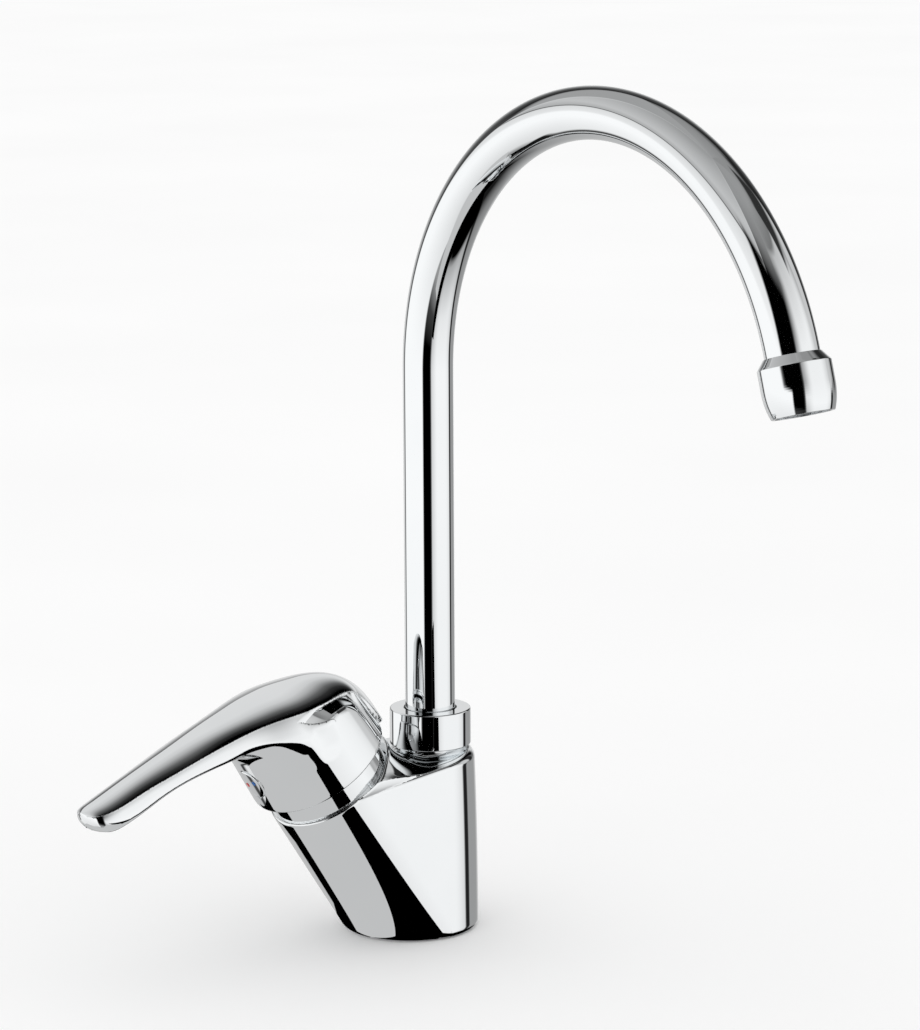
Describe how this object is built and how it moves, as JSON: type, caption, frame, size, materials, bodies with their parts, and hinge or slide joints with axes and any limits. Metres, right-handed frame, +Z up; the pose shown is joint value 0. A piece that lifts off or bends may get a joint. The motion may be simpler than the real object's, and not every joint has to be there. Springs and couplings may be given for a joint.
{
  "type": "kitchen faucet",
  "caption": "Single-lever kitchen mixer with an inclined cartridge barrel, a lever handle and a swivelling swan-neck spout with an aerator.",
  "frame": {"origin": "centre of the round base on the deck plane", "axes": "+Z up, -Y the way the lever points, +X the way the spout points at rest"},
  "size_m": [0.2324, 0.1653, 0.3098],
  "materials": {
    "chrome": "polished chrome plate",
    "brass": "turned",
    "steel": "fine turned",
    "rubber": "matte",
    "plastic_grey": "moulded",
    "plastic_white": "moulded",
    "ceramic": "lapped ceramic",
    "red": "enamel",
    "blue": "enamel"
  },
  "bodies": {
    "root": {"mixer_body": "chrome", "base_gasket": "rubber", "cartridge_base": "plastic_grey", "cartridge_port_seals": "rubber", "fixed_ceramic_disc": "ceramic", "cartridge_housing": "plastic_grey", "cartridge_nut": "brass", "trim_ring": "chrome", "spout_collar": "chrome", "collar_slip_ring": "plastic_white", "spout_socket_bush": "plastic_white"},
    "spout": {"spout_tube": "chrome", "spout_ferrule": "brass", "spout_o_rings": "rubber", "aerator_adapter": "brass", "aerator_housing": "chrome", "aerator_washer": "rubber", "aerator_insert": "plastic_white", "aerator_screen": "steel"},
    "rotor": {"stem_holder": "plastic_grey", "stem_pivot_pin": "steel"},
    "lever": {"handle_lever": "chrome", "cartridge_stem": "brass", "grub_screw": "steel", "index_plug": "chrome", "hot_mark": "red", "cold_mark": "blue"},
    "disc": {"moving_ceramic_disc": "ceramic", "disc_carrier": "plastic_grey"}
  },
  "joints": [
    {"name": "spout_swivel", "type": "hinge", "parent": "root", "child": "spout", "pos_m": [0, 0.00943, 0.07], "axis": [0, 0, 1], "continuous": true},
    {"name": "lever_turn", "type": "hinge", "parent": "root", "child": "rotor", "pos_m": [0, -0.03661, 0.06009], "axis": [0, -0.5527, 0.8334], "range_deg": [-50, 50]},
    {"name": "lever_lift", "type": "hinge", "parent": "rotor", "child": "lever", "pos_m": [0, -0.04186, 0.06801], "axis": [-1, 0, 0], "range_deg": [0, 18]},
    {"name": "disc_slide", "type": "slide", "parent": "rotor", "child": "disc", "axis": [0, -0.8334, -0.5527], "range_m": [0, 0.0039]}
  ],
  "couplings": [
    {"joint": "disc_slide", "follows": "lever_lift", "m_per_rad": 0.012}
  ]
}
